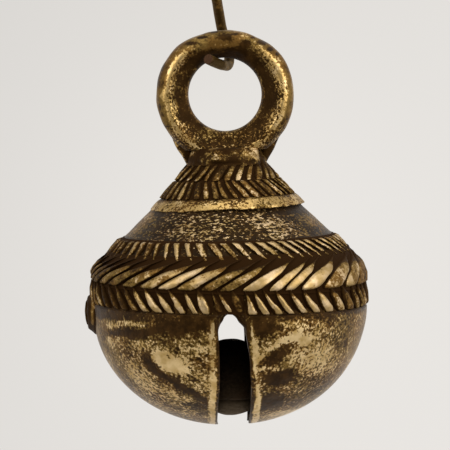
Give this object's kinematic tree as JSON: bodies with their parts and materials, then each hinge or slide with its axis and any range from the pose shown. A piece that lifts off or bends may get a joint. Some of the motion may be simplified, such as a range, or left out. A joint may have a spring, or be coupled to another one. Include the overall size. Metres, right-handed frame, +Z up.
{
  "type": "brass crotal bell",
  "caption": "Round cast brass bell with a slotted bowl, a loose iron pellet inside, braided bands and a ring, hanging from a wire hook.",
  "frame": {"origin": "the point the assembly hangs from, on the inner top of the hook's upper crook", "axes": "+Z up along the bell's axis, -Y to the front with the slot, -X to the side with the leaf boss"},
  "size_m": [0.0735, 0.0718, 0.128],
  "materials": {
    "shell_brass": "cast, dark brown patina mottled with bare brass",
    "ring_brass": "cast, worn bright on its rim and dark in its dished inner face",
    "braid_brass": "strokes rubbed bright, grooves nearly black",
    "ribbon_brass": "rubbed bright",
    "pellet_iron": "dark, rusty",
    "hook_wire": "drawn wire, tarnished dark"
  },
  "bodies": {
    "hook": {"hanging_hook": "hook_wire"},
    "bell": {"bowl": "shell_brass", "dome": "shell_brass", "neck_collar": "ring_brass", "suspension_ring": "ring_brass", "ring_gusset_left": "ring_brass", "ring_gusset_right": "ring_brass", "ribbon_band": "ribbon_brass", "side_leaf": "shell_brass", "slot_tab_front": "braid_brass", "slot_tab_back": "braid_brass", "shoulder_braid_middle": "braid_brass", "shoulder_braid_upper": "braid_brass", "neck_braid_lower": "braid_brass", "neck_braid_upper": "braid_brass", "shoulder_braid_lower_left": "braid_brass", "shoulder_braid_lower_right": "braid_brass"},
    "pellet": {"pellet": "pellet_iron"}
  },
  "joints": [
    {"name": "bell_swing", "type": "hinge", "parent": "hook", "child": "bell", "pos_m": [-0.0004, 0, -0.03275], "axis": [0, 1, 0], "range_deg": [-45, 45]},
    {"name": "pellet_roll", "type": "hinge", "parent": "bell", "child": "pellet", "pos_m": [0, 0, -0.0885], "axis": [1, 0, 0], "range_deg": [-50, 50]}
  ]
}
